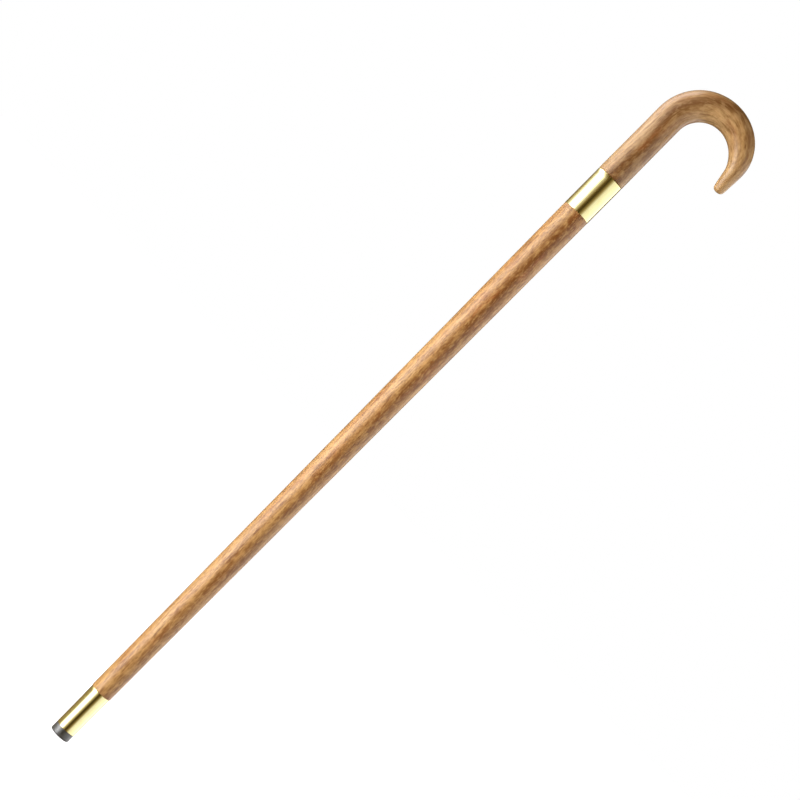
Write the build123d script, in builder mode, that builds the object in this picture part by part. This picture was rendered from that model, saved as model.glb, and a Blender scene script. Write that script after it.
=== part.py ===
"""Crook-handled wooden walking stick, in millimetres.

The stick stands upright along +Z with the origin at the centre of the rubber tip's ground face.
The crook bends towards +X, and lies in the XZ plane.
The handle screws off the shaft: a steel stud in the handle runs in a brass insert in the shaft,
and the brass collar on the shaft guides the handle's spigot.
"""

import os
from math import cos, radians, sin

from build123d import *

# Heights along the stick, from the ground face.
TIP_HEIGHT = 9.2
FERRULE_TOP = 59.6
COLLAR_BOTTOM = 734.5
COLLAR_TOP = 782.9
BEND_START = 866.7

# Outer radii.
TIP_RADIUS = 11.1
FERRULE_RADIUS = 11.15
FERRULE_TOP_RADIUS = 11.5
SHAFT_FOOT_RADIUS = 11.95
SHAFT_TOP_RADIUS = 15.4
COLLAR_RADIUS = 15.5

# The crook's centreline: straight, a quarter turn, a tighter near-quarter turn, then the straight nose.
FIRST_BEND_RADIUS = 42.5
SECOND_BEND_RADIUS = 41.2
NOSE_LENGTH = 23.1

# Walls, joints and clearances.
COLLAR_WALL = 1.2
COLLAR_RIM_ROUNDING = 0.9
FERRULE_WALL = 0.9
FERRULE_STRAIGHT = 21.8
GLUE_GAP = 0.05
RUNNING_GAP = 0.08
THREAD_GAP = 0.05
SHOULDER_GAP = 0.1

# The screw joint under the collar.
THREAD_RADIUS = 5.0
THREAD_TRAVEL = 18.0
WASHER_THICKNESS = 1.0
SPIGOT_LENGTH = 13.0
STUD_IN_HANDLE = 45.0
STUD_CHAMFER = 1.0
INSERT_RADIUS = 7.5
INSERT_LENGTH = 24.0
INSERT_GROOVES = 5
INSERT_GROOVE_DEPTH = 0.5
INSERT_GROOVE_WIDTH = 1.6

# The rubber tip and its fixing.
TIP_EDGE_ROUNDING = 1.5
STEM_LENGTH = 13.6
RECESS_RADIUS = 4.6
RECESS_DEPTH = 5.0
TREAD_RADII = (6.4, 8.6)
TREAD_WIDTH = 0.8
TREAD_DEPTH = 0.8
TIP_WASHER_THICKNESS = 1.0
SCREW_RADIUS = 2.0
SCREW_LENGTH = 40.0
SCREW_HEAD_RADIUS = 3.8
SCREW_HEAD_HEIGHT = 2.4
SCREW_POINT_LENGTH = 4.0
SCREW_POINT_DEPTH = 1.6
SLOT_WIDTH = 0.9
SLOT_DEPTH = 1.1

# Brass pins, filed flush, on the side of the stick that faces +Y.
PIN_RADIUS = 0.9
PIN_LENGTH = 6.5
PIN_SINK = 0.05
PIN_EDGE_ROUNDING = 0.15
COLLAR_PIN_HEIGHT = COLLAR_BOTTOM + 10.0
COLLAR_PIN_ANGLES = (60.0, 120.0)
FERRULE_PIN_HEIGHT = 48.0
FERRULE_PIN_ANGLE = 90.0

# Heights that follow from the lengths above.
WASHER_TOP = COLLAR_TOP + SHOULDER_GAP - SPIGOT_LENGTH
SHAFT_TOP = WASHER_TOP - WASHER_THICKNESS
STUD_BOTTOM = SHAFT_TOP - THREAD_TRAVEL
TENON_BOTTOM = TIP_HEIGHT + STEM_LENGTH
FERRULE_TAPER_START = TIP_HEIGHT + FERRULE_STRAIGHT


def ferrule_radius(height):
    """The ferrule's outer radius: a straight foot, then a taper."""
    if height <= FERRULE_TAPER_START:
        return FERRULE_RADIUS
    share = (height - FERRULE_TAPER_START) / (FERRULE_TOP - FERRULE_TAPER_START)
    return FERRULE_RADIUS + share * (FERRULE_TOP_RADIUS - FERRULE_RADIUS)


def pin_plane(surface_radius, height, angle):
    """A plane on the stick's surface, facing outwards, where a pin's head sits."""
    outward = Vector(cos(radians(angle)), sin(radians(angle)), 0)
    return Plane(origin=outward * surface_radius + Vector(0, 0, height), z_dir=outward)


collar_pin_planes = [pin_plane(COLLAR_RADIUS, COLLAR_PIN_HEIGHT, angle) for angle in COLLAR_PIN_ANGLES]
ferrule_pin_plane = pin_plane(ferrule_radius(FERRULE_PIN_HEIGHT), FERRULE_PIN_HEIGHT, FERRULE_PIN_ANGLE)


# Shaft: a straight-tapered hardwood pole, turned down for the ferrule below and the collar above.
SPIGOT_RADIUS = COLLAR_RADIUS - COLLAR_WALL - GLUE_GAP
TENON_RADIUS = FERRULE_RADIUS - FERRULE_WALL - GLUE_GAP
TENON_TOP_RADIUS = FERRULE_TOP_RADIUS - FERRULE_WALL - GLUE_GAP
SHOULDER_CHAMFER = 0.4
PILOT_TOP = RECESS_DEPTH + TIP_WASHER_THICKNESS + SCREW_LENGTH
with BuildPart() as shaft:
    with BuildSketch(Plane.XZ):
        with BuildLine():
            Polyline(
                (0, TENON_BOTTOM),
                (TENON_RADIUS, TENON_BOTTOM),
                (TENON_RADIUS, FERRULE_TAPER_START),
                (TENON_TOP_RADIUS, FERRULE_TOP + GLUE_GAP),
                (SHAFT_FOOT_RADIUS - SHOULDER_CHAMFER, FERRULE_TOP + GLUE_GAP),
                (SHAFT_FOOT_RADIUS, FERRULE_TOP + GLUE_GAP + SHOULDER_CHAMFER),
                (SHAFT_TOP_RADIUS, COLLAR_BOTTOM - GLUE_GAP - SHOULDER_CHAMFER / 2),
                (SHAFT_TOP_RADIUS - SHOULDER_CHAMFER / 2, COLLAR_BOTTOM - GLUE_GAP),
                (SPIGOT_RADIUS, COLLAR_BOTTOM - GLUE_GAP),
                (SPIGOT_RADIUS, SHAFT_TOP),
                (0, SHAFT_TOP),
                close=True,
            )
        make_face()
    revolve(axis=Axis.Z)
    with BuildSketch(Plane.XY.offset(SHAFT_TOP)):
        Circle(INSERT_RADIUS + GLUE_GAP)
    extrude(amount=-INSERT_LENGTH - GLUE_GAP, mode=Mode.SUBTRACT)
    with BuildSketch(Plane.XY.offset(TENON_BOTTOM)):
        Circle(SCREW_RADIUS + GLUE_GAP)
    extrude(amount=PILOT_TOP - TENON_BOTTOM + GLUE_GAP, mode=Mode.SUBTRACT)
    for plane in [*collar_pin_planes, ferrule_pin_plane]:
        with BuildSketch(plane):
            Circle(PIN_RADIUS + GLUE_GAP)
        extrude(amount=-PIN_LENGTH - GLUE_GAP, mode=Mode.SUBTRACT)

# Collar: a brass tube with a rounded upper rim, which the handle's shoulder meets.
with BuildPart() as collar:
    with BuildSketch(Plane.XY.offset(COLLAR_BOTTOM)):
        Circle(COLLAR_RADIUS)
        Circle(COLLAR_RADIUS - COLLAR_WALL, mode=Mode.SUBTRACT)
    extrude(amount=COLLAR_TOP - COLLAR_BOTTOM)
    upper_rim = collar.edges().filter_by(GeomType.CIRCLE).group_by(Axis.Z)[-1].sort_by(SortBy.RADIUS)[-1]
    fillet(upper_rim, COLLAR_RIM_ROUNDING)
    for plane in collar_pin_planes:
        with BuildSketch(plane):
            Circle(PIN_RADIUS + GLUE_GAP)
        extrude(amount=2 * COLLAR_WALL, both=True, mode=Mode.SUBTRACT)

# Ferrule: a thin brass tube, straight at the foot and tapered to the shaft above.
with BuildPart() as ferrule:
    with BuildSketch(Plane.XZ):
        with BuildLine():
            Polyline(
                (FERRULE_RADIUS, TIP_HEIGHT),
                (FERRULE_RADIUS, FERRULE_TAPER_START),
                (FERRULE_TOP_RADIUS, FERRULE_TOP),
                (FERRULE_TOP_RADIUS - FERRULE_WALL, FERRULE_TOP),
                (FERRULE_RADIUS - FERRULE_WALL, FERRULE_TAPER_START),
                (FERRULE_RADIUS - FERRULE_WALL, TIP_HEIGHT),
                close=True,
            )
        make_face()
    revolve(axis=Axis.Z)
    with BuildSketch(ferrule_pin_plane):
        Circle(PIN_RADIUS + GLUE_GAP)
    extrude(amount=2 * FERRULE_WALL, both=True, mode=Mode.SUBTRACT)


def make_pin(plane):
    """A brass pin, driven in along a plane's normal until its rounded end is just under the surface."""
    head_plane = plane.offset(-PIN_SINK)
    with BuildPart() as pin:
        with BuildSketch(head_plane):
            Circle(PIN_RADIUS)
        extrude(amount=PIN_SINK - PIN_LENGTH)
        rims = pin.edges().filter_by(GeomType.CIRCLE)
        fillet(rims.sort_by_distance(head_plane.origin)[0], PIN_EDGE_ROUNDING)
    return pin


collar_pin_right, collar_pin_left = [make_pin(plane) for plane in collar_pin_planes]
ferrule_pin = make_pin(ferrule_pin_plane)

# Threaded insert: a brass bush glued in the shaft's top, with grooves outside that key into the glue.
# Its bore is the thread's envelope.
GROOVE_PITCH = INSERT_LENGTH / INSERT_GROOVES
with BuildPart() as threaded_insert:
    with BuildSketch(Plane.XY.offset(SHAFT_TOP)):
        Circle(INSERT_RADIUS)
        Circle(THREAD_RADIUS + THREAD_GAP, mode=Mode.SUBTRACT)
    extrude(amount=-INSERT_LENGTH)
    for index in range(INSERT_GROOVES):
        groove_middle = SHAFT_TOP - (index + 0.5) * GROOVE_PITCH
        with BuildSketch(Plane.XY.offset(groove_middle - INSERT_GROOVE_WIDTH / 2)):
            Circle(INSERT_RADIUS + GLUE_GAP)
            Circle(INSERT_RADIUS - INSERT_GROOVE_DEPTH, mode=Mode.SUBTRACT)
        extrude(amount=INSERT_GROOVE_WIDTH, mode=Mode.SUBTRACT)

# Joint washer: a fibre ring on the stud, pinched between the shaft's top and the handle's spigot.
WASHER_RADIUS = 13.5
with BuildPart() as joint_washer:
    with BuildSketch(Plane.XY.offset(SHAFT_TOP)):
        Circle(WASHER_RADIUS)
        Circle(THREAD_RADIUS + RUNNING_GAP, mode=Mode.SUBTRACT)
    extrude(amount=WASHER_THICKNESS)

# Handle stud: steel rod, threaded all along, glued into the handle.
STUD_TOP = WASHER_TOP + STUD_IN_HANDLE
with BuildPart() as handle_stud:
    with BuildSketch(Plane.XY.offset(STUD_BOTTOM)):
        Circle(THREAD_RADIUS)
    extrude(amount=STUD_TOP - STUD_BOTTOM)
    chamfer(handle_stud.edges().filter_by(GeomType.CIRCLE), STUD_CHAMFER)

# Handle: one piece of hardwood, with a turned grip and nose and round sections lofted between them.
GRIP_BOTTOM = COLLAR_TOP + SHOULDER_GAP
GRIP_CHAMFER = 0.5
GRIP_PROFILE = (
    (15.6, GRIP_BOTTOM + GRIP_CHAMFER),
    (15.55, 800.0),
    (15.4, 825.0),
    (15.4, 850.0),
    (15.5, BEND_START),
)
FIRST_BEND_RADII = ((0, 15.5), (15, 15.8), (30, 16.05), (50, 16.15), (70, 15.95))
SECOND_BEND_RADII = ((0, 15.5), (15, 14.95), (30, 14.3), (45, 13.35), (60, 12.0), (75, 10.1), (86, 8.55))
NOSE_PROFILE = (
    (8.55, 0.0),
    (7.9, 5.0),
    (7.3, 9.5),
    (6.75, 14.0),
    (6.2, 18.0),
    (5.3, 20.9),
    (3.3, 22.6),
    (0.0, NOSE_LENGTH),
)
NOSE_START_TANGENT = (-0.16, 1.0)
NOSE_END_TANGENT = (-1.0, 0.0)
first_centre = Vector(FIRST_BEND_RADIUS, 0, BEND_START)
second_centre = first_centre + Vector(0, 0, FIRST_BEND_RADIUS - SECOND_BEND_RADIUS)


def bend_plane(centre, bend_radius, angle):
    """The section plane at an angle round a bend, where 0 faces -X and 90 faces up."""
    turned = radians(angle)
    origin = centre + Vector(-cos(turned), 0, sin(turned)) * bend_radius
    return Plane(origin=origin, x_dir=(0, 1, 0), z_dir=(sin(turned), 0, cos(turned)))


sections = []
for angle, radius in FIRST_BEND_RADII:
    sections.append((bend_plane(first_centre, FIRST_BEND_RADIUS, angle), radius))
for angle, radius in SECOND_BEND_RADII:
    sections.append((bend_plane(second_centre, SECOND_BEND_RADIUS, 90 + angle), radius))
nose_section = sections[-1][0]
nose_axis = Axis(nose_section.origin, nose_section.z_dir)
across = Vector(0, 1, 0)
nose_plane = Plane(origin=nose_section.origin, x_dir=across, z_dir=across.cross(nose_section.z_dir))
with BuildPart() as handle:
    with BuildSketch(Plane.XZ):
        with BuildLine():
            Polyline(
                (0, BEND_START),
                (0, GRIP_BOTTOM),
                (GRIP_PROFILE[0][0] - GRIP_CHAMFER, GRIP_BOTTOM),
                GRIP_PROFILE[0],
            )
            Spline(*GRIP_PROFILE)
            Line(GRIP_PROFILE[-1], (0, BEND_START))
        make_face()
    revolve(axis=Axis.Z)
    for plane, radius in sections:
        with BuildSketch(plane):
            Circle(radius)
    loft()
    with BuildSketch(nose_plane):
        with BuildLine():
            Spline(*NOSE_PROFILE, tangents=(NOSE_START_TANGENT, NOSE_END_TANGENT))
            Polyline(NOSE_PROFILE[-1], (0, 0), NOSE_PROFILE[0])
        make_face()
    revolve(axis=nose_axis)
    with BuildSketch(Plane.XY.offset(WASHER_TOP)):
        Circle(COLLAR_RADIUS - COLLAR_WALL - RUNNING_GAP)
    extrude(amount=SPIGOT_LENGTH)
    with BuildSketch(Plane.XY.offset(WASHER_TOP)):
        Circle(THREAD_RADIUS + GLUE_GAP)
    extrude(amount=STUD_IN_HANDLE + GLUE_GAP, mode=Mode.SUBTRACT)

# Rubber tip: a plug with a rounded tread below and a stem that fills the ferrule's foot.
with BuildPart() as rubber_tip:
    with BuildSketch(Plane.XY):
        Circle(TIP_RADIUS)
    extrude(amount=TIP_HEIGHT)
    fillet(rubber_tip.edges().group_by(Axis.Z)[0], TIP_EDGE_ROUNDING)
    with BuildSketch(Plane.XY.offset(TIP_HEIGHT)):
        Circle(FERRULE_RADIUS - FERRULE_WALL - GLUE_GAP)
    extrude(amount=STEM_LENGTH - GLUE_GAP)
    with BuildSketch(Plane.XY):
        Circle(RECESS_RADIUS)
    extrude(amount=RECESS_DEPTH + TIP_WASHER_THICKNESS, mode=Mode.SUBTRACT)
    with BuildSketch(Plane.XY):
        Circle(SCREW_RADIUS + GLUE_GAP)
    extrude(amount=TENON_BOTTOM, mode=Mode.SUBTRACT)
    for tread_radius in TREAD_RADII:
        with BuildSketch(Plane.XY):
            Circle(tread_radius + TREAD_WIDTH / 2)
            Circle(tread_radius - TREAD_WIDTH / 2, mode=Mode.SUBTRACT)
        extrude(amount=TREAD_DEPTH, mode=Mode.SUBTRACT)

# Tip washer: a steel ring at the top of the recess, which spreads the screw's load.
with BuildPart() as tip_washer:
    with BuildSketch(Plane.XY.offset(RECESS_DEPTH)):
        Circle(RECESS_RADIUS - GLUE_GAP)
        Circle(SCREW_RADIUS + GLUE_GAP, mode=Mode.SUBTRACT)
    extrude(amount=TIP_WASHER_THICKNESS)

# Tip screw: a slotted pan-head wood screw, driven up into the shaft. Its shank is the thread's envelope.
with BuildPart() as tip_screw:
    with BuildSketch(Plane.XY.offset(RECESS_DEPTH)):
        Circle(SCREW_HEAD_RADIUS)
    extrude(amount=-SCREW_HEAD_HEIGHT)
    fillet(tip_screw.edges().group_by(Axis.Z)[0], SCREW_HEAD_HEIGHT / 2)
    with BuildSketch(Plane.XY.offset(RECESS_DEPTH - SCREW_HEAD_HEIGHT)):
        Rectangle(2 * SCREW_HEAD_RADIUS, SLOT_WIDTH)
    extrude(amount=SLOT_DEPTH, mode=Mode.SUBTRACT)
    with BuildSketch(Plane.XY.offset(RECESS_DEPTH)):
        Circle(SCREW_RADIUS)
    extrude(amount=SCREW_LENGTH)
    chamfer(tip_screw.edges().group_by(Axis.Z)[-1], length=SCREW_POINT_LENGTH, length2=SCREW_POINT_DEPTH)

pieces = {
    "shaft": shaft,
    "collar": collar,
    "collar_pin_right": collar_pin_right,
    "collar_pin_left": collar_pin_left,
    "threaded_insert": threaded_insert,
    "ferrule": ferrule,
    "ferrule_pin": ferrule_pin,
    "rubber_tip": rubber_tip,
    "tip_washer": tip_washer,
    "tip_screw": tip_screw,
    "joint_washer": joint_washer,
    "handle_stud": handle_stud,
    "crook_handle": handle,
}
os.makedirs("parts", exist_ok=True)
for name, piece in pieces.items():
    piece.part.label = name
    export_step(piece.part, f"parts/{name}.step")
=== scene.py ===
"""Looks for the crook-handled walking cane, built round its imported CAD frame.

The row frame is in metres: the cane stands along +Z with its tip on the ground at the origin,
and the crook bends towards +X. The camera looks along +Y.
"""

from functools import partial
from math import ceil, cos, floor, pi, radians, sin, tau

import bpy
from mathutils import Matrix, Vector, noise
from mathutils.bvhtree import BVHTree


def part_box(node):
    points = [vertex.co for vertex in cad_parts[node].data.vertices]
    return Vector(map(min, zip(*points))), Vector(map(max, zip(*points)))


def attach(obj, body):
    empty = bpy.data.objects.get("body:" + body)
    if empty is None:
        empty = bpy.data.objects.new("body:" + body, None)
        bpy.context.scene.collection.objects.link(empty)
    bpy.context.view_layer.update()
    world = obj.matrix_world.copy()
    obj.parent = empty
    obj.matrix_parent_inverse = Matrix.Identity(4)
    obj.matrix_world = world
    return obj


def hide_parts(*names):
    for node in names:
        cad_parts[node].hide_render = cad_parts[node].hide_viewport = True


MM = 0.001
GLUE_GAP = 0.05 * MM
RUNNING_GAP = 0.08 * MM
SHOULDER_GAP = 0.1 * MM
COLLAR_WALL = 1.2 * MM
FERRULE_WALL = 0.9 * MM
PIN_RADIUS = 0.9 * MM
SCREW_RADIUS = 2.0 * MM
# How far from a piece's middle the rays that measure it start.
RAY_REACH = 30 * MM

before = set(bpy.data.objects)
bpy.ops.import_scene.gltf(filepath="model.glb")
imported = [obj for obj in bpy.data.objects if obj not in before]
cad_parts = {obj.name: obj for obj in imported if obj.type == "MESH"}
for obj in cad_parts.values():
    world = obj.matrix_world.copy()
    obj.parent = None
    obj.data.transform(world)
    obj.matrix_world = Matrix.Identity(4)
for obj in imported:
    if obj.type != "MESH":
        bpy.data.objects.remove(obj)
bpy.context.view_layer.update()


# ---------------------------------------------------------------- sizes, read from the CAD frame


def low(node):
    """The height of a CAD node's lowest point."""
    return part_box(node)[0].z


def high(node):
    """The height of a CAD node's highest point."""
    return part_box(node)[1].z


def cad_radius(node):
    """Half of a CAD node's width across the plane of the crook."""
    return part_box(node)[1].y


def surface(node):
    """A CAD node's surface, to measure with rays."""
    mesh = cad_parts[node].data
    points = [vertex.co for vertex in mesh.vertices]
    return BVHTree.FromPolygons(points, [polygon.vertices for polygon in mesh.polygons])


def depth_to(tree, centre, outward, reach=RAY_REACH):
    """The distance from a centre to a surface, found with a ray that comes in from outside."""
    place = tree.ray_cast(centre + outward * reach, -outward, reach)[0]
    return (place - centre).length


def radius_of(tree, height):
    """A round surface's radius at a height on the Z axis, on the side away from the crook."""
    return depth_to(tree, Vector((0, 0, height)), Vector((-1, 0, 0)))


# ---------------------------------------------------------------- meshes


def make_object(name, points, faces, sharp_angle=30):
    """A smooth-shaded mesh object, with edges sharper than the angle left sharp."""
    mesh = bpy.data.meshes.new(name)
    mesh.from_pydata([tuple(point) for point in points], [], faces)
    mesh.validate()
    mesh.update()
    mesh.shade_smooth()
    mesh.set_sharp_from_angle(angle=radians(sharp_angle))
    made = bpy.data.objects.new(name, mesh)
    bpy.context.scene.collection.objects.link(made)
    return made


def rings_to_faces(rings, closed):
    """Faces between rings of point numbers. A ring of one number is a pole."""
    faces = []
    pairs = list(zip(rings, rings[1:]))
    if closed:
        pairs.append((rings[-1], rings[0]))
    for lower, upper in pairs:
        count = max(len(lower), len(upper))
        for i in range(count):
            j = (i + 1) % count
            if len(lower) == 1:
                faces.append((lower[0], upper[j], upper[i]))
            elif len(upper) == 1:
                faces.append((lower[i], lower[j], upper[0]))
            else:
                faces.append((lower[i], lower[j], upper[j], upper[i]))
    return faces


def add_ring(points, sides, height, radius_at):
    """Adds a ring of points round the Z axis, and returns their numbers."""
    ring = []
    for i in range(sides):
        angle = tau * i / sides
        radius = radius_at(height, angle)
        ring.append(len(points))
        points.append((radius * cos(angle), radius * sin(angle), height))
    return ring


def add_circle(points, sides, height, radius):
    """Adds a plain circle of points, and returns their numbers."""
    return add_ring(points, sides, height, lambda at_height, at_angle: radius)


def add_pole(points, height):
    """Adds a single point on the Z axis, where a surface closes, and returns its number as a ring."""
    points.append((0, 0, height))
    return [len(points) - 1]


def lathe(name, profile, closed=False, sides=96, shape=None):
    """A turned piece. The profile's (radius, height) points run with the solid on their left.

    shape, where given, changes a point: it takes radius, height and angle, and returns the radius.
    """
    points = []
    rings = []
    for radius, height in profile:
        if radius == 0:
            rings.append(add_pole(points, height))
        elif shape:
            rings.append(add_ring(points, sides, height, partial(shape, radius)))
        else:
            rings.append(add_circle(points, sides, height, radius))
    return make_object(name, points, rings_to_faces(rings, closed))


def rounded(corners, steps=4):
    """A profile from (radius, height, rounding) corners, with a curve at each corner that has a rounding."""
    profile = []
    count = len(corners)
    for i, (r, z, rounding) in enumerate(corners):
        here = Vector((r, z))
        if not rounding:
            profile.append((r, z))
            continue
        before = (Vector(corners[i - 1][:2]) - here).normalized()
        after = (Vector(corners[(i + 1) % count][:2]) - here).normalized()
        start = here + before * rounding
        end = here + after * rounding
        for step in range(steps + 1):
            t = step / steps
            point = start * (1 - t) ** 2 + here * 2 * t * (1 - t) + end * t**2
            profile.append((max(point.x, 0), point.y))
    return profile


def refine(profile, longest):
    """The same profile with its long runs divided, so that a shape or a colour has points to follow."""
    fine = [profile[0]]
    for (r0, z0), (r1, z1) in zip(profile, profile[1:]):
        pieces = max(1, ceil(abs(z1 - z0) / longest))
        for i in range(1, pieces + 1):
            t = i / pieces
            fine.append((r0 + (r1 - r0) * t, z0 + (z1 - z0) * t))
    return fine


def set_grain(made, grain):
    """Stores where each point lies in the straight stick that the wood was cut from."""
    values = made.data.attributes.new("grain", "FLOAT_VECTOR", "POINT").data
    for value, place in zip(values, grain):
        value.vector = place


# ---------------------------------------------------------------- material building


def paint(red, green, blue):
    """A display colour, 0 to 255, as the linear colour that shaders take."""
    linear = []
    for channel in (red, green, blue):
        share = channel / 255
        linear.append(share / 12.92 if share <= 0.04045 else ((share + 0.055) / 1.055) ** 2.4)
    return (*linear, 1.0)


class Shader:
    """A material under construction, with short ways to add its nodes."""

    def __init__(self, name):
        self.material = bpy.data.materials.new(name)
        self.material.use_nodes = True
        self.tree = self.material.node_tree
        self.surface = self.tree.nodes["Principled BSDF"]

    def node(self, kind, inputs=None, **settings):
        made = self.tree.nodes.new(kind)
        for key, value in settings.items():
            setattr(made, key, value)
        for key, value in (inputs or {}).items():
            self.set(made.inputs[key], value)
        return made

    def set(self, socket, value):
        if isinstance(value, bpy.types.NodeSocket):
            self.tree.links.new(value, socket)
        else:
            socket.default_value = value

    def surface_set(self, **inputs):
        for key, value in inputs.items():
            self.set(self.surface.inputs[key.replace("_", " ")], value)

    def stretch(self, vector, scale, place=(0, 0, 0), turn=(0, 0, 0)):
        inputs = {"Vector": vector, "Scale": scale, "Location": place, "Rotation": turn}
        return self.node("ShaderNodeMapping", inputs).outputs[0]

    def noise(self, vector, detail=3.0, roughness=0.55, distortion=0.0):
        inputs = {
            "Vector": vector,
            "Scale": 1.0,
            "Detail": detail,
            "Roughness": roughness,
            "Distortion": distortion,
        }
        return self.node("ShaderNodeTexNoise", inputs).outputs["Fac"]

    def math(self, operation, first, second=0.0, third=0.0):
        inputs = {0: first, 1: second, 2: third}
        return self.node("ShaderNodeMath", inputs, operation=operation).outputs[0]

    def vector_math(self, operation, inputs):
        return self.node("ShaderNodeVectorMath", inputs, operation=operation).outputs[0]

    def range(self, value, start, end, to_start=0.0, to_end=1.0):
        inputs = {"Value": value, "From Min": start, "From Max": end, "To Min": to_start, "To Max": to_end}
        return self.node("ShaderNodeMapRange", inputs, interpolation_type="SMOOTHSTEP").outputs[0]

    def blend(self, share, first, second):
        made = self.node("ShaderNodeMix", data_type="RGBA")
        self.set(made.inputs[0], share)
        self.set(made.inputs[6], first)
        self.set(made.inputs[7], second)
        return made.outputs[2]

    def bump(self, height, strength, distance):
        inputs = {"Height": height, "Strength": strength, "Distance": distance}
        return self.node("ShaderNodeBump", inputs).outputs[0]

    def warp(self, vector, place, amount):
        """The vector, pushed about by noise at another place, by up to half the amount each way."""
        noise_node = self.node("ShaderNodeTexNoise", {"Vector": place, "Scale": 1.0, "Detail": 1.0})
        half = (0.5, 0.5, 0.5)
        centred = self.vector_math("SUBTRACT", {0: noise_node.outputs["Color"], 1: half})
        push = self.vector_math("SCALE", {0: centred, "Scale": amount})
        return self.vector_math("ADD", {0: vector, 1: push})

    def split(self, vector):
        return self.node("ShaderNodeSeparateXYZ", {"Vector": vector}).outputs

    def object_place(self):
        return self.node("ShaderNodeTexCoord").outputs["Object"]

    def glow(self, colour, strength):
        """Makes the material plain light, in place of its surface."""
        emission = self.node("ShaderNodeEmission", {"Color": colour, "Strength": strength})
        self.tree.links.new(emission.outputs[0], self.tree.nodes["Material Output"].inputs["Surface"])


# ---------------------------------------------------------------- materials

# Noise scales are in cells per metre, and bump distances in metres. Strengths are shares from 0 to 1.

RINGS_PER_METRE = 240.0
# How far along the wood it takes to turn plain, and how much of its marks it loses there.
PLAIN_FADE = 0.02
PLAIN_LOSS = 0.75


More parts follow.
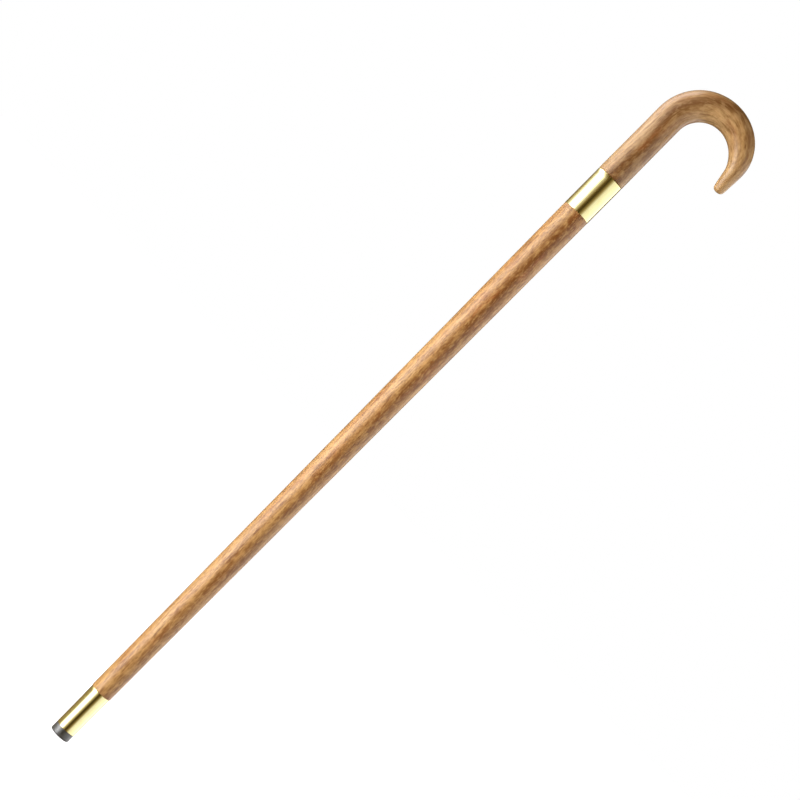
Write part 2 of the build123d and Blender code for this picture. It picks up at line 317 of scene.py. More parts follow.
def wood(name, tones, seed, pith, slope, heart_and_shade, flecked, plain_from):
    """Lacquered hardwood with its grain along the third axis of the stored grain place.

    tones are pale, middle, dark and red. pith is where the tree's centre lies beside the stick,
    and slope leans the growth rings a little, so that the grain runs out along the piece.
    The streak of darker wood, partly heartwood and partly painted shade near the middle of the piece as the
    camera sees it, is given as (height, offset, half width, strength) up the piece.
    flecked is how strong the ray flecks are. Above the height plain_from the wood is paler and its
    marks are fainter.
    """
    pale, middle, dark, red = tones
    s = Shader(name)
    grain = s.node("ShaderNodeAttribute", attribute_name="grain").outputs["Vector"]
    straight = s.stretch(grain, (1, 1, 1), place=(*pith, seed), turn=slope)
    wavy = s.warp(straight, s.stretch(straight, (70, 70, 34)), 0.0022)
    curly = s.warp(wavy, s.stretch(straight, (190, 190, 90)), 0.0007)

    # Growth rings, cut at a slant, so that they come to the surface as broad uneven streaks.
    across = s.split(wavy)
    squares = [s.math("POWER", part, 2.0) for part in across[:2]]
    distance = s.math("SQRT", s.math("ADD", *squares))
    ring = s.math("FRACT", s.math("MULTIPLY", distance, RINGS_PER_METRE))
    late_wood = s.math("MULTIPLY", s.range(ring, 0.3, 0.85), s.range(ring, 1.0, 0.88))

    # Fibres, short ray flecks, pores, slow changes of colour, and the cross figure of curly wood.
    fibres = s.noise(s.stretch(curly, (950, 950, 42)), detail=4.0, roughness=0.6)
    threads = s.noise(s.stretch(curly, (300, 300, 24)), detail=3.0, roughness=0.55)
    flecks = s.noise(s.stretch(curly, (620, 620, 170)), detail=2.0, roughness=0.6)
    pores = s.range(s.noise(s.stretch(curly, (1500, 1500, 130)), detail=1.0), 0.64, 0.74)
    clouds = s.noise(s.stretch(wavy, (60, 60, 14)), detail=4.0, roughness=0.6)
    blush = s.noise(s.stretch(wavy, (95, 95, 20), place=(3, 1, 7)), detail=4.0, roughness=0.65)
    figure = s.noise(s.stretch(wavy, (170, 170, 75)), detail=3.0, roughness=0.5, distortion=0.6)

    # The darker streak, partly heartwood and partly painted shade near the middle that the camera sees: its
    # middle, half width and strength follow the given heights.
    height = s.split(grain)[2]
    streak = list(heart_and_shade[0][1:])
    for stop, following in zip(heart_and_shade, heart_and_shade[1:]):
        climb = s.range(height, stop[0], following[0])
        for k in range(3):
            streak[k] = s.math("MULTIPLY_ADD", climb, following[k + 1] - stop[k + 1], streak[k])
    wander = s.warp(grain, s.stretch(grain, (60, 60, 26), place=(seed, 0, 0)), 0.005)
    wander = s.warp(wander, s.stretch(grain, (230, 230, 110), place=(seed, 2, 0)), 0.003)
    beside = s.math("ABSOLUTE", s.math("SUBTRACT", s.split(wander)[0], streak[0]))
    heartwood_and_shade = s.math("MULTIPLY", s.range(s.math("DIVIDE", beside, streak[1]), 1.0, 0.05), streak[2])

    plain = s.range(height, plain_from, plain_from + PLAIN_FADE)
    marked = s.math("SUBTRACT", 1.0, s.math("MULTIPLY", plain, PLAIN_LOSS))
    thread_marks = s.math("MULTIPLY", s.range(threads, 0.48, 0.72, 0.0, 0.65), marked)
    fibre_marks = s.math("MULTIPLY", s.range(fibres, 0.3, 0.7, 0.2, 0.0), marked)
    dark_figure = s.math("MULTIPLY", s.range(figure, 0.48, 0.34, 0.0, 0.26), marked)

    colour = s.blend(s.range(clouds, 0.38, 0.62, 0.22, 0.78), middle, pale)
    colour = s.blend(s.math("MULTIPLY", plain, 0.5), colour, pale)
    # Painted shade along the middle that the camera sees, mixed with a real heartwood streak: the colour
    # darkens there.
    colour = s.blend(heartwood_and_shade, colour, dark)
    colour = s.blend(s.math("MULTIPLY", late_wood, 0.25), colour, dark)
    colour = s.blend(s.range(blush, 0.5, 0.72, 0.0, 0.45), colour, red)
    colour = s.blend(thread_marks, colour, dark)
    colour = s.blend(fibre_marks, colour, dark)
    colour = s.blend(s.range(figure, 0.48, 0.66, 0.0, 0.28), colour, pale)
    colour = s.blend(dark_figure, colour, dark)
    colour = s.blend(s.range(flecks, 0.5, 0.7, 0.0, 0.5 * flecked), colour, dark)
    colour = s.blend(s.range(flecks, 0.5, 0.3, 0.0, 0.33 * flecked), colour, pale)
    colour = s.blend(s.math("MULTIPLY", pores, s.math("MULTIPLY", marked, 0.14)), colour, dark)

    relief = s.bump(s.math("SUBTRACT", s.math("MULTIPLY", fibres, 0.5), pores), 0.08, 0.00004)
    s.surface_set(Base_Color=colour, Roughness=s.range(fibres, 0.3, 0.7, 0.52, 0.4), Normal=relief)
    s.surface_set(Specular_IOR_Level=0.15, Coat_Weight=0.8, Coat_Roughness=0.24, Coat_IOR=1.46)
    return s.material


def brass():
    """Polished brass: fine polishing lines round the stick, faint clouding and a few hairline scratches."""
    s = Shader("polished_brass")
    place = s.object_place()
    lines = s.noise(s.stretch(place, (60, 60, 9000)), detail=2.0, roughness=0.7)
    clouding = s.noise(s.stretch(place, (140, 140, 90)), detail=4.0, roughness=0.6)
    scratches = s.noise(s.stretch(place, (3200, 3200, 130), turn=(0.5, 0.2, 0)), detail=1.0)
    scratch = s.range(scratches, 0.7, 0.74)
    colour = s.blend(s.range(clouding, 0.35, 0.75, 0.0, 0.5), paint(248, 238, 180), paint(241, 226, 160))
    colour = s.blend(s.math("MULTIPLY", scratch, 0.15), colour, paint(205, 178, 112))
    roughness = s.math("ADD", s.range(clouding, 0.3, 0.8, 0.13, 0.19), s.math("MULTIPLY", scratch, 0.08))
    height = s.math("SUBTRACT", s.math("MULTIPLY", lines, 0.6), scratch)
    s.surface_set(Base_Color=colour, Metallic=1.0, Roughness=roughness, Normal=s.bump(height, 0.04, 0.00002))
    return s.material


def steel():
    """Zinc-plated steel: a fine frosted grain with dull patches."""
    s = Shader("zinc_plated_steel")
    place = s.object_place()
    frost = s.noise(s.stretch(place, (5200, 5200, 5200)), detail=2.0)
    patches = s.noise(s.stretch(place, (420, 420, 260)), detail=4.0, roughness=0.65)
    colour = s.blend(s.range(patches, 0.35, 0.7), paint(205, 207, 210), paint(168, 170, 174))
    roughness = s.range(patches, 0.3, 0.75, 0.2, 0.38)
    s.surface_set(Base_Color=colour, Metallic=1.0, Roughness=roughness, Normal=s.bump(frost, 0.2, 0.00002))
    return s.material


def rubber():
    """Black rubber: a moulded surface with fine pits, scuffed grey towards the ground."""
    s = Shader("black_rubber")
    place = s.object_place()
    pits = s.noise(s.stretch(place, (2600, 2600, 2600)), detail=3.0, roughness=0.6)
    scuffs = s.noise(s.stretch(place, (300, 300, 900)), detail=4.0, roughness=0.7)
    near_ground = s.range(s.split(place)[2], 0.005, 0.0, 0.1, 0.55)
    scuffed = s.math("MULTIPLY", s.range(scuffs, 0.42, 0.7), near_ground)
    colour = s.blend(scuffed, paint(50, 50, 49), paint(122, 121, 116))
    roughness = s.range(scuffs, 0.3, 0.75, 0.32, 0.46)
    s.surface_set(Base_Color=colour, Roughness=roughness, IOR=2.1, Normal=s.bump(pits, 0.2, 0.00004))
    return s.material


def fibre():
    """Red vulcanised fibre: mottled, with a matte pressed surface."""
    s = Shader("red_fibre")
    place = s.object_place()
    mottle = s.noise(s.stretch(place, (700, 700, 700)), detail=4.0, roughness=0.7)
    nap = s.noise(s.stretch(place, (4200, 4200, 4200)), detail=2.0)
    colour = s.blend(s.range(mottle, 0.35, 0.7), paint(128, 44, 34), paint(94, 30, 25))
    roughness = s.range(mottle, 0.3, 0.7, 0.62, 0.8)
    s.surface_set(Base_Color=colour, Roughness=roughness, Normal=s.bump(nap, 0.3, 0.00004))
    return s.material


# Pale, middle, dark and red tones, and the darker streaks, partly heartwood and partly painted shade near
# the middle that the camera sees: height, offset, half width, strength.
SHAFT_TONES = (paint(222, 175, 111), paint(196, 143, 82), paint(118, 67, 24), paint(178, 98, 48))
HANDLE_TONES = (paint(210, 171, 118), paint(179, 134, 80), paint(104, 60, 20), paint(156, 88, 48))
SHAFT_HEART_AND_SHADE = (
    (0.1, 0.005, 0.009, 0.45),
    (0.3, 0.005, 0.0095, 0.6),
    (0.5, 0.005, 0.0095, 0.8),
    (0.7, 0.004, 0.0135, 0.95),
)
HANDLE_HEART_AND_SHADE = (
    (0.79, -0.003, 0.016, 0.85),
    (0.85, -0.0015, 0.0145, 0.75),
    (0.878, 0.0005, 0.013, 0.8),
    (0.9, 0.002, 0.013, 0.8),
    (0.918, 0.0065, 0.0115, 0.75),
    (0.934, 0.0098, 0.0105, 0.95),
    (0.95, 0.0095, 0.006, 0.35),
    (0.968, 0.0055, 0.005, 0.4),
    (0.99, 0.001, 0.0035, 0.4),
)
shaft_wood = wood(
    "shaft_hardwood",
    SHAFT_TONES,
    seed=0.31,
    pith=(0.021, -0.016),
    slope=(0.012, 0.018, 0),
    heart_and_shade=SHAFT_HEART_AND_SHADE,
    flecked=1.0,
    plain_from=1.0,
)
handle_wood = wood(
    "handle_hardwood",
    HANDLE_TONES,
    seed=2.17,
    pith=(-0.013, 0.03),
    slope=(-0.05, 0.07, 0),
    heart_and_shade=HANDLE_HEART_AND_SHADE,
    flecked=0.55,
    plain_from=0.985,
)
polished_brass = brass()
zinc_steel = steel()
black_rubber = rubber()
red_fibre = fibre()


def finish_piece(made, material, body, node):
    """Gives a piece its material and slot, and puts it on its body in place of its CAD node."""
    made.data.materials.append(material)
    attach(made, body)
    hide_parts(node)


# ---------------------------------------------------------------- shaft


def hand_finish(amount, round_scale, length_scale, seed):
    """How far sanding by hand leaves a surface from round, in metres, at a height and an angle."""

    def waver(height, angle):
        place = Vector((cos(angle) * round_scale, sin(angle) * round_scale, height * length_scale + seed))
        return amount * noise.noise(place)

    return waver


def make_shaft():
    """The tapered pole, with its turned-down ends and the socket for the threaded insert."""
    tree = surface("shaft")
    edge = 0.25 * MM
    foot = high("ferrule") + GLUE_GAP
    neck = low("collar") - GLUE_GAP
    socket = cad_radius("threaded_insert") + GLUE_GAP
    socket_floor = low("threaded_insert") - GLUE_GAP
    pilot = SCREW_RADIUS + GLUE_GAP
    pilot_top = high("tip_screw") + MM
    tenon_bottom = low("shaft")
    tenon = radius_of(tree, tenon_bottom + MM)
    tenon_top = radius_of(tree, foot - MM)
    spigot = radius_of(tree, neck + MM)
    pole_foot = radius_of(tree, foot + MM)
    pole_top = radius_of(tree, neck - MM)
    corners = [
        (0, pilot_top, 0),
        (pilot, pilot_top - MM, 0),
        (pilot, tenon_bottom, 0),
        (tenon, tenon_bottom, edge),
        (tenon, high("rubber_tip") + 9 * MM, 0),
        (tenon_top, foot, 0),
        (pole_foot, foot, 0.4 * MM),
        (pole_top, neck, 0.25 * MM),
        (spigot, neck, 0),
        (spigot, high("shaft"), edge),
        (socket, high("shaft"), edge),
        (socket, socket_floor, 0),
        (0, socket_floor, 0),
    ]
    profile = refine(rounded(corners), 6 * MM)
    waver = hand_finish(0.09 * MM, 0.9, 22, 4.0)
    margin = 3 * MM

    def shape(radius, height, angle):
        on_pole = foot + margin < height < neck - margin and radius > spigot * 0.75
        return radius + waver(height, angle) if on_pole else radius

    made = lathe("shaft", profile, shape=shape)
    set_grain(made, [vertex.co for vertex in made.data.vertices])
    finish_piece(made, shaft_wood, "shaft", "shaft")


# ---------------------------------------------------------------- handle

# The crook's centreline, the same as the CAD handle's.
BEND_HEIGHT = 866.7 * MM
BEND_OUT = 42.5 * MM
FIRST_BEND = 42.5 * MM
SECOND_BEND = 41.2 * MM
SECOND_TURN = radians(86)
NOSE_LENGTH = 23.1 * MM
NOSE_RINGS = 26
RING_SPACING = 2.5 * MM
SHOULDER = high("collar") + SHOULDER_GAP
# The rings nearest the shoulder, as heights above it.
EDGE_RINGS = (0.6 * MM, 1.2 * MM, 2.0 * MM)
# At the nose's slim end the fibres stay this far from the middle, so that their marks don't bunch up.
LEAST_FIBRE_RADIUS = 8.2 * MM
QUARTER = pi / 2


def crook_frames():
    """Frames down the crook's centreline from the handle's shoulder.

    Each is a centre, the outward direction there, and the place along. The nose's end follows them.
    """
    heights = [SHOULDER + rise for rise in EDGE_RINGS]
    start = heights[-1]
    count = ceil((BEND_HEIGHT - start) / RING_SPACING)
    heights += [start + (BEND_HEIGHT - start) * i / count for i in range(1, count)]
    frames = [(Vector((0, 0, height)), Vector((-1, 0, 0)), height) for height in heights]
    along = BEND_HEIGHT
    top = Vector((BEND_OUT, 0, BEND_HEIGHT + FIRST_BEND - SECOND_BEND))
    bends = [
        (Vector((BEND_OUT, 0, BEND_HEIGHT)), FIRST_BEND, 0.0, QUARTER),
        (top, SECOND_BEND, QUARTER, QUARTER + SECOND_TURN),
    ]
    for centre, bend, start, end in bends:
        count = ceil((end - start) * bend / RING_SPACING)
        for i in range(count):
            turn = start + (end - start) * i / count
            outward = Vector((-cos(turn), 0, sin(turn)))
            frames.append((centre + outward * bend, outward, along + bend * (turn - start)))
        along += bend * (end - start)
    outward = Vector((-cos(bends[1][3]), 0, sin(bends[1][3])))
    down = Vector((outward.z, 0, -outward.x))
    nose = top + outward * SECOND_BEND
    for i in range(NOSE_RINGS):
        run = NOSE_LENGTH * sin(QUARTER * i / NOSE_RINGS)
        frames.append((nose + down * run, outward, along + run))
    return frames, nose + down * NOSE_LENGTH, along + NOSE_LENGTH


def make_handle():
    """The crook, with its spigot and the bore for the stud below."""
    sides = 96
    bend_reach = 24 * MM
    bottom = low("crook_handle")
    bore = cad_radius("handle_stud") + GLUE_GAP
    bore_top = high("handle_stud") + GLUE_GAP
    spigot = cad_radius("collar") - COLLAR_WALL - RUNNING_GAP
    grip = 15.1 * MM
    corners = [
        (0, bore_top, 0),
        (bore, bore_top, 0),
        (bore, bottom, 0.3 * MM),
        (spigot, bottom, 0.5 * MM),
        (spigot, SHOULDER, 0.15 * MM),
        (grip, SHOULDER, 0.2 * MM),
    ]
    points = []
    grain = []
    rings = []
    for radius, height in rounded(corners):
        ring = []
        for i in range(1 if radius == 0 else sides):
            angle = tau * i / sides
            place = Vector((-radius * cos(angle), radius * sin(angle), height))
            ring.append(len(points))
            points.append(place)
            grain.append(Vector((-place.x, place.y, height)))
        rings.append(ring)
    tree = surface("crook_handle")
    frames, end, end_along = crook_frames()
    first_along = frames[0][2]
    waver = hand_finish(0.16 * MM, 0.8, 26, 9)
    for centre, outward, along in frames:
        ring = []
        calm = min(1.0, (along - first_along) / (6 * MM), (end_along - along) / (12 * MM))
        for i in range(sides):
            angle = tau * i / sides
            away = outward * cos(angle) + Vector((0, sin(angle), 0))
            radius = depth_to(tree, centre, away, bend_reach) + calm * waver(along, angle)
            ring.append(len(points))
            points.append(centre + away * radius)
            fibre_radius = max(radius, LEAST_FIBRE_RADIUS)
            grain.append(Vector((fibre_radius * cos(angle), fibre_radius * sin(angle), along)))
        rings.append(ring)
    rings.append([len(points)])
    points.append(end)
    grain.append(Vector((LEAST_FIBRE_RADIUS, 0, end_along)))
    faces = [tuple(reversed(face)) for face in rings_to_faces(rings, closed=False)]
    made = make_object("crook_handle", points, faces)
    set_grain(made, grain)
    finish_piece(made, handle_wood, "handle", "crook_handle")


# ---------------------------------------------------------------- brass fittings


def make_collar():
    """The collar, with a rolled upper rim and a crisp lower one."""
    outer = cad_radius("collar")
    inner = outer - COLLAR_WALL
    bottom = low("collar")
    top = high("collar")
    corners = [
        (inner, top, 0.25 * MM),
        (inner, bottom, 0.2 * MM),
        (outer, bottom, 0.2 * MM),
        (outer, top, 0.9 * MM),
    ]
    profile = rounded(corners, steps=6)
    made = lathe("collar", refine(profile, 4 * MM), closed=True, sides=128)
    finish_piece(made, polished_brass, "shaft", "collar")


def make_ferrule():
    """The ferrule, straight at the foot and tapered above."""
    tree = surface("ferrule")
    bottom = low("ferrule")
    top = high("ferrule")
    taper_start = bottom + 21.8 * MM
    foot = radius_of(tree, bottom + MM)
    rim = radius_of(tree, top - 0.1 * MM)
    corners = [
        (rim - FERRULE_WALL, top, 0.15 * MM),
        (foot - FERRULE_WALL, taper_start, 0),
        (foot - FERRULE_WALL, bottom, 0.15 * MM),
        (foot, bottom, 0.3 * MM),
        (foot, taper_start, 2 * MM),
        (rim, top, 0.25 * MM),
    ]
    profile = refine(rounded(corners, steps=6), 4 * MM)
    made = lathe("ferrule", profile, closed=True, sides=128)
    finish_piece(made, polished_brass, "shaft", "ferrule")


def make_pin(node):
    """A flush brass pin with a filed, slightly crowned end, set where its CAD node is."""
    lowest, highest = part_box(node)
    middle = (lowest + highest) / 2
    outward = Vector((middle.x, middle.y, 0)).normalized()
    axis_point = Vector((0, 0, middle.z))
    head = depth_to(surface(node), axis_point, outward)
    length = 6.4 * MM
    corners = [
        (0, -length, 0),
        (PIN_RADIUS, -length, 0.1 * MM),
        (PIN_RADIUS, -0.02 * MM, 0.12 * MM),
        (0.4 * MM, 0.02 * MM, 0),
        (0, 0.03 * MM, 0),
    ]
    made = lathe(node, rounded(corners), sides=32)
    turn = outward.to_track_quat("Z", "Y").to_matrix().to_4x4()
    made.data.transform(Matrix.Translation(outward * head + axis_point) @ turn)
    finish_piece(made, polished_brass, "shaft", node)


# ---------------------------------------------------------------- screw joint

PITCH = 1.5 * MM
THREAD_DEPTH = 0.9 * MM
THREAD_GAP = 0.06 * MM
# The flat at a thread's root and the flank above it, as shares of half a pitch.
ROOT_FLAT = 0.12
FLANK = 0.72


def thread_share(height, angle, pitch):
    """How far up the thread's flank a place lies, from 0 at the root to 1 at the crest."""
    turn = height / pitch - angle / tau
    share = 2 * abs(turn - floor(turn) - 0.5)
    return min(1.0, max(0.0, (share - ROOT_FLAT) / FLANK))


def threaded_grid(bottom, top, radius_at, sides=64, steps=12, pitch=PITCH):
    """Rings of points on a threaded surface, with their numbers, from the bottom to the top."""
    count = ceil((top - bottom) / pitch * steps)
    points = []
    rings = []
    for k in range(count + 1):
        rings.append(add_ring(points, sides, bottom + (top - bottom) * k / count, radius_at))
    return points, rings


def make_stud():
    """The steel stud: threaded below the handle, plain where it is glued in."""
    outer = cad_radius("handle_stud")
    bottom = low("handle_stud")
    top = high("handle_stud")
    thread_end = low("crook_handle") + 2 * PITCH

    def radius_at(height, angle):
        crest = outer - THREAD_DEPTH * (1 - thread_share(height, angle, PITCH))
        lead = outer - max(0.0, 1.2 * MM - (height - bottom))
        return min(crest, lead)

    points, rings = threaded_grid(bottom, thread_end, radius_at)
    sides = len(rings[0])
    plain = outer - 0.4 * MM
    rings.insert(0, add_pole(points, bottom))
    for radius, height in ((plain, thread_end + PITCH), (plain, top - MM), (plain - MM, top)):
        rings.append(add_circle(points, sides, height, radius))
    rings.append(add_pole(points, top))
    made = make_object("handle_stud", points, rings_to_faces(rings, closed=False), sharp_angle=40)
    finish_piece(made, zinc_steel, "handle", "handle_stud")


def make_insert():
    """The brass bush with the thread that the stud runs in, and glue grooves outside."""
    outer = cad_radius("threaded_insert")
    bottom = low("threaded_insert")
    top = high("threaded_insert")
    major = cad_radius("handle_stud") + THREAD_GAP
    minor = major - THREAD_DEPTH + 0.12 * MM

    def radius_at(height, angle):
        root = major - THREAD_DEPTH * (1 - thread_share(height, angle, PITCH))
        mouth = major - max(0.0, top - height)
        foot = major - max(0.0, height - bottom)
        return max(minor, root, mouth, foot)

    points, rings = threaded_grid(bottom, top, radius_at)
    rings.reverse()
    sides = len(rings[0])
    grooves = 5
    groove_depth = 0.5 * MM
    groove_half = 0.8 * MM
    outline = [(outer - 0.4 * MM, bottom), (outer, bottom + 0.4 * MM)]
    for i in range(grooves):
        middle = bottom + (top - bottom) * (i + 0.5) / grooves
        outline += [
            (outer, middle - groove_half),
            (outer - groove_depth, middle - groove_half + 0.2 * MM),
            (outer - groove_depth, middle + groove_half - 0.2 * MM),
            (outer, middle + groove_half),
        ]
    outline += [(outer, top - 0.4 * MM), (outer - 0.4 * MM, top)]
    rings += [add_circle(points, sides, height, radius) for radius, height in outline]
    made = make_object("threaded_insert", points, rings_to_faces(rings, closed=True), sharp_angle=40)
    finish_piece(made, polished_brass, "shaft", "threaded_insert")


def make_washer(name, body, inner, edge, material):
    """A flat ring with softened edges, in place of its CAD node."""
    outer = cad_radius(name)
    bottom = low(name)
    top = high(name)
    corners = [(inner, top, edge), (inner, bottom, edge), (outer, bottom, edge), (outer, top, edge)]
    made = lathe(name, rounded(corners), closed=True)
    finish_piece(made, material, body, name)


# ---------------------------------------------------------------- tip


def make_rubber_tip():
    """The rubber plug: a rounded tread with two grooves, the screw's recess, and the stem."""
    outer = cad_radius("rubber_tip")
    head = low("ferrule")
    top = high("rubber_tip")
    stem = cad_radius("ferrule") - 1.3 * MM
    recess = 4.6 * MM
    recess_top = high("tip_washer")
    hole = SCREW_RADIUS + GLUE_GAP
    groove_half = 0.4 * MM
    groove_depth = 0.8 * MM
    corners = [
        (hole, top, 0.2 * MM),
        (hole, recess_top, 0),
        (recess, recess_top, 0),
        (recess, 0, 0.4 * MM),
    ]
    for groove in (6.4 * MM, 8.6 * MM):
        corners += [
            (groove - groove_half, 0, 0.15 * MM),
            (groove - groove_half, groove_depth, 0.15 * MM),
            (groove + groove_half, groove_depth, 0.15 * MM),
            (groove + groove_half, 0, 0.15 * MM),
        ]
    corners += [
        (outer, 0, 1.5 * MM),
        (outer, head, 0.3 * MM),
        (stem, head, 0),
        (stem, top, 0.3 * MM),
    ]
    made = lathe("rubber_tip", rounded(corners, steps=5), closed=True, sides=128)
    finish_piece(made, black_rubber, "shaft", "rubber_tip")


def make_tip_screw():
    """The slotted pan-head wood screw that holds the rubber tip, with its thread."""
    head_bottom = low("tip_screw")
    head_top = low("tip_washer")
    top = high("tip_screw")
    head = cad_radius("tip_screw")
    shank = SCREW_RADIUS
    pitch = 1.8 * MM
    thread_depth = 0.55 * MM
    plain_top = head_top + 8 * MM
    point = 6 * MM

    def radius_at(height, angle):
        thinning = min(1.0, (top - height) / point + 0.05)
        crest = shank - thread_depth * (1 - thread_share(height, angle, pitch))
        return crest * thinning

    points, rings = threaded_grid(plain_top, top, radius_at, sides=24, steps=8, pitch=pitch)
    sides = len(rings[0])
    below = [
        (0.9 * MM, head_bottom),
        (head - 1.2 * MM, head_bottom + 0.1 * MM),
        (head - 0.5 * MM, head_bottom + 0.5 * MM),
        (head - 0.1 * MM, head_bottom + 1.2 * MM),
        (head, head_top - 0.3 * MM),
        (head - 0.1 * MM, head_top),
        (shank, head_top),
        (shank, plain_top - 0.5 * MM),
    ]
    lower = [add_pole(points, head_bottom)]
    lower += [add_circle(points, sides, height, radius) for radius, height in below]
    rings = [*lower, *rings, add_pole(points, top)]
    made = make_object("tip_screw", points, rings_to_faces(rings, closed=False), sharp_angle=40)
    cut_slot(made, head, head_bottom)
    finish_piece(made, zinc_steel, "shaft", "tip_screw")


def cut_slot(screw, head, head_bottom):
    """Cuts the driver's slot across a screw's head."""
    width = 0.9 * MM
    depth = 1.1 * MM
    half = (head * 1.2, width / 2, depth)
    corners = [
        (x * half[0], y * half[1], head_bottom + z * half[2])
        for x in (-1, 1)
        for y in (-1, 1)
        for z in (-1, 1)
    ]
    faces = [(0, 1, 3, 2), (4, 6, 7, 5), (0, 4, 5, 1), (2, 3, 7, 6), (0, 2, 6, 4), (1, 5, 7, 3)]
    cutter = make_object("slot_cutter", corners, faces)
    cut = screw.modifiers.new("slot", "BOOLEAN")
    cut.operation = "DIFFERENCE"
    cut.object = cutter
    graph = bpy.context.evaluated_depsgraph_get()
    cut_mesh = bpy.data.meshes.new_from_object(screw.evaluated_get(graph))
    screw.modifiers.clear()
    screw.data = cut_mesh
    bpy.data.objects.remove(cutter)


make_shaft()
make_handle()
make_collar()
make_ferrule()
for pin in ("collar_pin_right", "collar_pin_left", "ferrule_pin"):
    make_pin(pin)
make_stud()
make_insert()
joint_bore = cad_radius("handle_stud") + RUNNING_GAP
make_washer("joint_washer", "joint_washer", joint_bore, 0.12 * MM, red_fibre)
make_washer("tip_washer", "shaft", SCREW_RADIUS + GLUE_GAP, 0.15 * MM, zinc_steel)
make_rubber_tip()
make_tip_screw()


# ---------------------------------------------------------------- floor, light and camera


def make_floor():
    """A wide floor that glows white like the backdrop, a little blue against the warm lights' tint.

    The glow hides any shadow on it, and the cane gets no light from it.
    """
    half = 12.0
    corners = [(-half, -half, 0), (half, -half, 0), (half, half, 0), (-half, half, 0)]
    floor_object = make_object("floor", corners, [(0, 1, 2, 3)])
    s = Shader("white_floor")
    s.surface_set(Base_Color=paint(240, 240, 240), Roughness=0.9)
    s.surface_set(Emission_Color=(0.96, 0.96, 1, 1), Emission_Strength=0.99)
    floor_object.data.materials.append(s.material)
    floor_object.visible_diffuse = False
    floor_object.visible_glossy = False


def around(azimuth, distance, height):
    """A place at a bearing from the cane. Bearing 0 is towards the camera, and 90 is towards the crook."""
    turn = radians(azimuth)
    return Vector((distance * sin(turn), -distance * cos(turn), height))


# The heights on a panel that the ferrule, the shaft's foot, the collar and the crook mirror, from the front.
MIRRORED_HEIGHTS = (-0.16, -0.06, 0.94, 1.06)


def make_panel(name, distance, bottom, top, stops, *, lights_diffuse, lights_glossy, tint=(1, 1, 1, 1)):
    """A tall soft panel of light, warm where it is dim.

    stops are (brightness, the bearings of its edge at the mirrored heights). One bearing serves for all.
    """
    heights = (bottom, *MIRRORED_HEIGHTS, top)
    rows = len(heights)
    points = []
    for stop in stops:
        bearings = stop[1:] if len(stop) > 2 else stop[1:] * len(MIRRORED_HEIGHTS)
        bearings = (bearings[0], *bearings, bearings[-1])
        points += [around(bearing, distance, height) for bearing, height in zip(bearings, heights)]
    faces = []
    for i in range(len(stops) - 1):
        for j in range(rows - 1):
            corner = rows * i + j
            faces.append((corner, corner + rows, corner + rows + 1, corner + 1))
    panel = make_object(name, points, faces)
    brightness = panel.data.attributes.new("brightness", "FLOAT", "POINT").data
    for i, stop in enumerate(stops):
        for j in range(rows):
            brightness[rows * i + j].value = stop[0]
    s = Shader(name)
    level = s.node("ShaderNodeAttribute", attribute_name="brightness").outputs["Fac"]
    colour = s.blend(s.range(level, 0.0, 1.0), paint(255, 220, 130), tint)
    s.glow(colour, level)
    panel.data.materials.append(s.material)
    panel.visible_camera = False
    panel.visible_diffuse = lights_diffuse
    panel.visible_glossy = lights_glossy


def make_bounce():
    """Soft light thrown up from the ground under the crook, for the inside of the bend."""
    near, far, half, height = 0.05, 1.4, 1.2, 4 * MM
    corners = [(near, -half, height), (far, -half, height), (far, half, height), (near, half, height)]
    bounce = make_object("bounce", corners, [(0, 1, 2, 3)])
    s = Shader("bounce")
    s.glow((1, 1, 1, 1), 0.65)
    bounce.data.materials.append(s.material)
    bounce.visible_camera = False
    bounce.visible_glossy = False


def make_world():
    """Dim warm light from everywhere, and plain white behind the cane."""
    world = bpy.data.worlds.new("studio")
    bpy.context.scene.world = world
    world.use_nodes = True
    nodes = world.node_tree.nodes
    links = world.node_tree.links
    nodes.clear()
    seen = nodes.new("ShaderNodeLightPath").outputs["Is Camera Ray"]
    room = nodes.new("ShaderNodeBackground")
    room.inputs["Color"].default_value = paint(255, 202, 112)
    room.inputs["Strength"].default_value = 0.12
    backdrop = nodes.new("ShaderNodeBackground")
    backdrop.inputs["Color"].default_value = (1, 1, 1, 1)
    backdrop.inputs["Strength"].default_value = 1.0
    choice = nodes.new("ShaderNodeMixShader")
    output = nodes.new("ShaderNodeOutputWorld")
    links.new(seen, choice.inputs[0])
    links.new(room.outputs[0], choice.inputs[1])
    links.new(backdrop.outputs[0], choice.inputs[2])
    links.new(choice.outputs[0], output.inputs["Surface"])


def make_camera():
    """A long lens, level with the cane's middle, and leaned so that the cane lies across the picture."""
    distance = 2.4
    seen_width = 0.8
    aim = Vector((0.0066, 0, 0.4776))
    lean = radians(44.73)
    data = bpy.data.cameras.new("camera")
    data.lens = data.sensor_width * distance / seen_width
    data.clip_end = 100
    camera = bpy.data.objects.new("camera", data)
    bpy.context.scene.collection.objects.link(camera)
    right = Vector((cos(lean), 0, sin(lean)))
    up = Vector((-sin(lean), 0, cos(lean)))
    back = right.cross(up)
    turn = Matrix((right, up, back)).transposed().to_4x4()
    camera.matrix_world = Matrix.Translation(aim + back * distance) @ turn
    bpy.context.scene.camera = camera


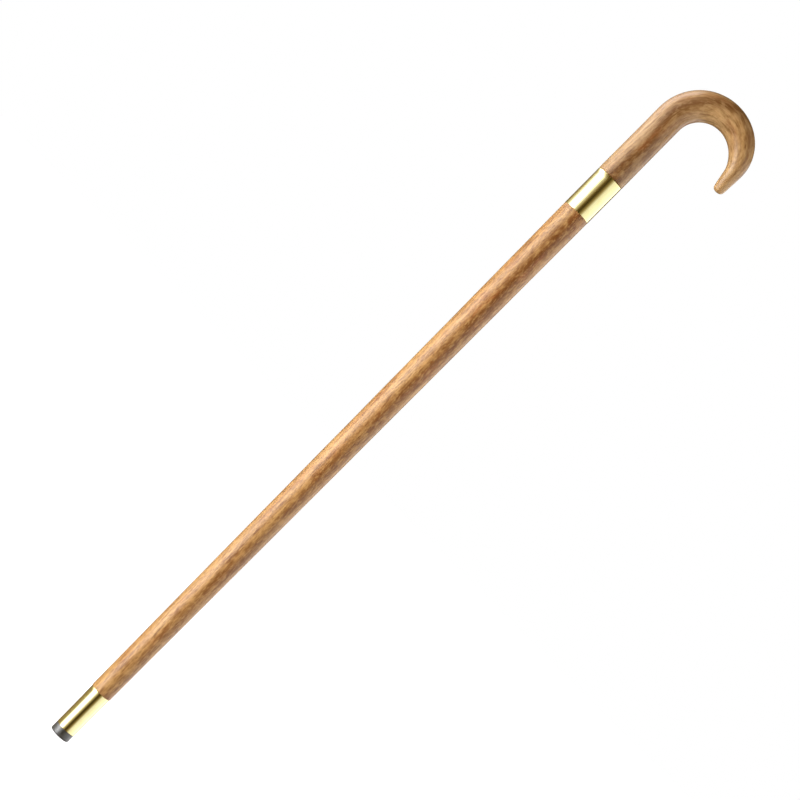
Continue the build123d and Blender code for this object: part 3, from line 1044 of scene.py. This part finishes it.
# The left and right lights. Each is one panel that lights surfaces and one that is only reflected.
LEFT_SHADING = (
    (0.1, -14, -14, -14, -18),
    (4.5, -21, -21, -26, -36),
    (4.7, -46, -46, -57, -62),
    (2.4, -70, -76, -84, -90),
)
LEFT_REFLECTED = (
    (0.04, 3, -5, -3, -12),
    (0.4, -9, -12, -14, -44),
    (0.85, -22, -23, -30, -64),
    (3.0, -33, -34, -44, -80),
    (7.0, -50, -60, -62, -96),
    (3.5, -64, -92, -80, -118),
    (0.9, -74, -116, -98, -138),
    (0.34, -88, -140, -129, -155),
    (0.3, -140, -160, -150, -168),
)
RIGHT_SHADING = ((1.1, 140), (1.15, 85), (1.4, 40))
RIGHT_REFLECTED = (
    (2.0, 145, 140, 140, 140),
    (1.5, 104),
    (1.3, 84),
    (1.1, 64),
    (1.0, 47),
    (0.65, 40, 38, 38, 38),
    (0.3, 31, 27, 27, 27),
    (0.08, 16, 12, 12, 12),
    (0.03, 2),
)
# A light behind the cane on the left, above the grip, for the bright edge of the crook's bend.
RIM = ((0.5, -90), (9.0, -105), (9.0, -136), (0.5, -146))
# A light high on the right, for the crook's outer side above the nose.
CROWN = ((1.2, 55), (1.7, 85), (1.7, 125))

make_floor()
make_panel("left_shading", 1.5, -0.6, 1.6, LEFT_SHADING, lights_diffuse=True, lights_glossy=False)
make_panel("left_reflected", 1.5, -0.7, 2.8, LEFT_REFLECTED, lights_diffuse=False, lights_glossy=True)
make_panel(
    "right_shading",
    3.0,
    -0.7,
    1.7,
    RIGHT_SHADING,
    lights_diffuse=True,
    lights_glossy=False,
    tint=paint(255, 248, 230),
)
make_panel("right_reflected", 3.0, -1.0, 2.0, RIGHT_REFLECTED, lights_diffuse=False, lights_glossy=True)
make_panel("rim", 1.6, 1.22, 1.8, RIM, lights_diffuse=False, lights_glossy=True)
make_panel("crown", 1.0, 1.6, 2.6, CROWN, lights_diffuse=True, lights_glossy=False)
make_bounce()
make_world()
make_camera()
bpy.context.scene.view_settings.view_transform = "Standard"
